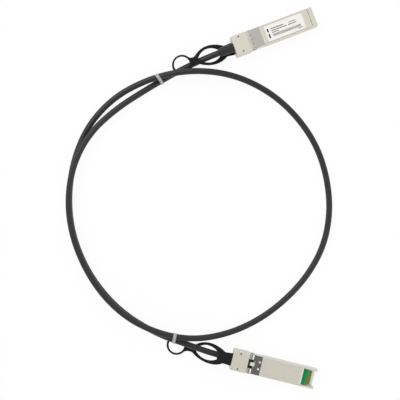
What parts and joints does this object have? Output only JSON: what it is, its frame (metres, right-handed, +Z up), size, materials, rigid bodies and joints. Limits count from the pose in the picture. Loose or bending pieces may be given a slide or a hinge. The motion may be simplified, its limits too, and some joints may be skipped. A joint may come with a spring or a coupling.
{
  "type": "direct attach copper cable",
  "caption": "Black twinax lead with a latching metal plug at each end, coiled in a loose ring held by two pale ties.",
  "frame": {"origin": "on the ground under the middle of the box round the two plugs and their pull tabs", "axes": "+Z up, +Y from the lower plug to the upper plug, +X towards the plugs' noses, away from the coil"},
  "size_m": [0.1823, 0.2596, 0.0121],
  "materials": {
    "cast_metal": "satin nickel plate over die-cast zinc",
    "spring_steel": "bright rolled stainless sheet",
    "latch_steel": "bright stamped steel",
    "pin_steel": "dull ground steel",
    "label_film": "white printed polyester film",
    "card_laminate": "green solder mask over glass laminate",
    "gold": "hard gold plate",
    "chip_plastic": "moulded black",
    "capacitor_ceramic": "fired ceramic",
    "wire_insulation": "white foamed insulation",
    "solder": "bright solder",
    "braid": "tinned braid",
    "ferrule_brass": "crimped brass",
    "boot_rubber": "moulded elastomer",
    "tab_rubber": "matte moulded elastomer",
    "cable_jacket": "extruded jacket with a soft sheen",
    "tie_film": "pale film"
  },
  "bodies": {
    "root": {"cable": "cable_jacket", "lower_cable_boot": "boot_rubber", "lower_card_contacts": "gold", "lower_coupling_capacitors": "capacitor_ceramic", "lower_cover_pins": "pin_steel", "lower_crimp_ferrule": "ferrule_brass", "lower_emi_collar": "spring_steel", "lower_label": "label_film", "lower_latch_pin": "pin_steel", "lower_latch_spring": "spring_steel", "lower_lower_housing": "cast_metal", "lower_memory_chip": "chip_plastic", "lower_paddle_card": "card_laminate", "lower_shield_braid": "braid", "lower_solder_joints": "solder", "lower_tie": "tie_film", "lower_top_cover": "cast_metal", "lower_twinax_wires": "wire_insulation", "upper_cable_boot": "boot_rubber", "upper_card_contacts": "gold", "upper_coupling_capacitors": "capacitor_ceramic", "upper_cover_pins": "pin_steel", "upper_crimp_ferrule": "ferrule_brass", "upper_emi_collar": "spring_steel", "upper_label": "label_film", "upper_latch_pin": "pin_steel", "upper_latch_spring": "spring_steel", "upper_lower_housing": "cast_metal", "upper_memory_chip": "chip_plastic", "upper_paddle_card": "card_laminate", "upper_shield_braid": "braid", "upper_solder_joints": "solder", "upper_tie": "tie_film", "upper_top_cover": "cast_metal", "upper_twinax_wires": "wire_insulation"},
    "upper_pull": {"upper_pull_slider": "latch_steel", "upper_pull_tab": "tab_rubber"},
    "upper_latch": {"upper_latch_lever": "latch_steel"},
    "lower_pull": {"lower_pull_slider": "latch_steel", "lower_pull_tab": "tab_rubber"},
    "lower_latch": {"lower_latch_lever": "latch_steel"}
  },
  "joints": [
    {"name": "upper_pull_slide", "type": "slide", "parent": "root", "child": "upper_pull", "axis": [-0.9328, -0.3581, 0.042], "range_m": [0, 0.0025], "stiffness_N_per_m": 1500},
    {"name": "upper_latch_hinge", "type": "hinge", "parent": "root", "child": "upper_latch", "pos_m": [0.01162, 0.10914, 0.00292], "axis": [-0.3584, 0.9336, 0], "range_deg": [0, 5.5]},
    {"name": "lower_pull_slide", "type": "slide", "parent": "root", "child": "lower_pull", "axis": [-0.9709, 0.2394, 0.0115], "range_m": [0, 0.0025], "stiffness_N_per_m": 1500},
    {"name": "lower_latch_hinge", "type": "hinge", "parent": "root", "child": "lower_latch", "pos_m": [0.01127, -0.1137, 0.00771], "axis": [-0.2394, -0.9709, 0], "range_deg": [0, 5.5]}
  ],
  "couplings": [
    {"joint": "upper_latch_hinge", "follows": "upper_pull_slide", "rad_per_m": 31.12},
    {"joint": "lower_latch_hinge", "follows": "lower_pull_slide", "rad_per_m": 31.12}
  ]
}
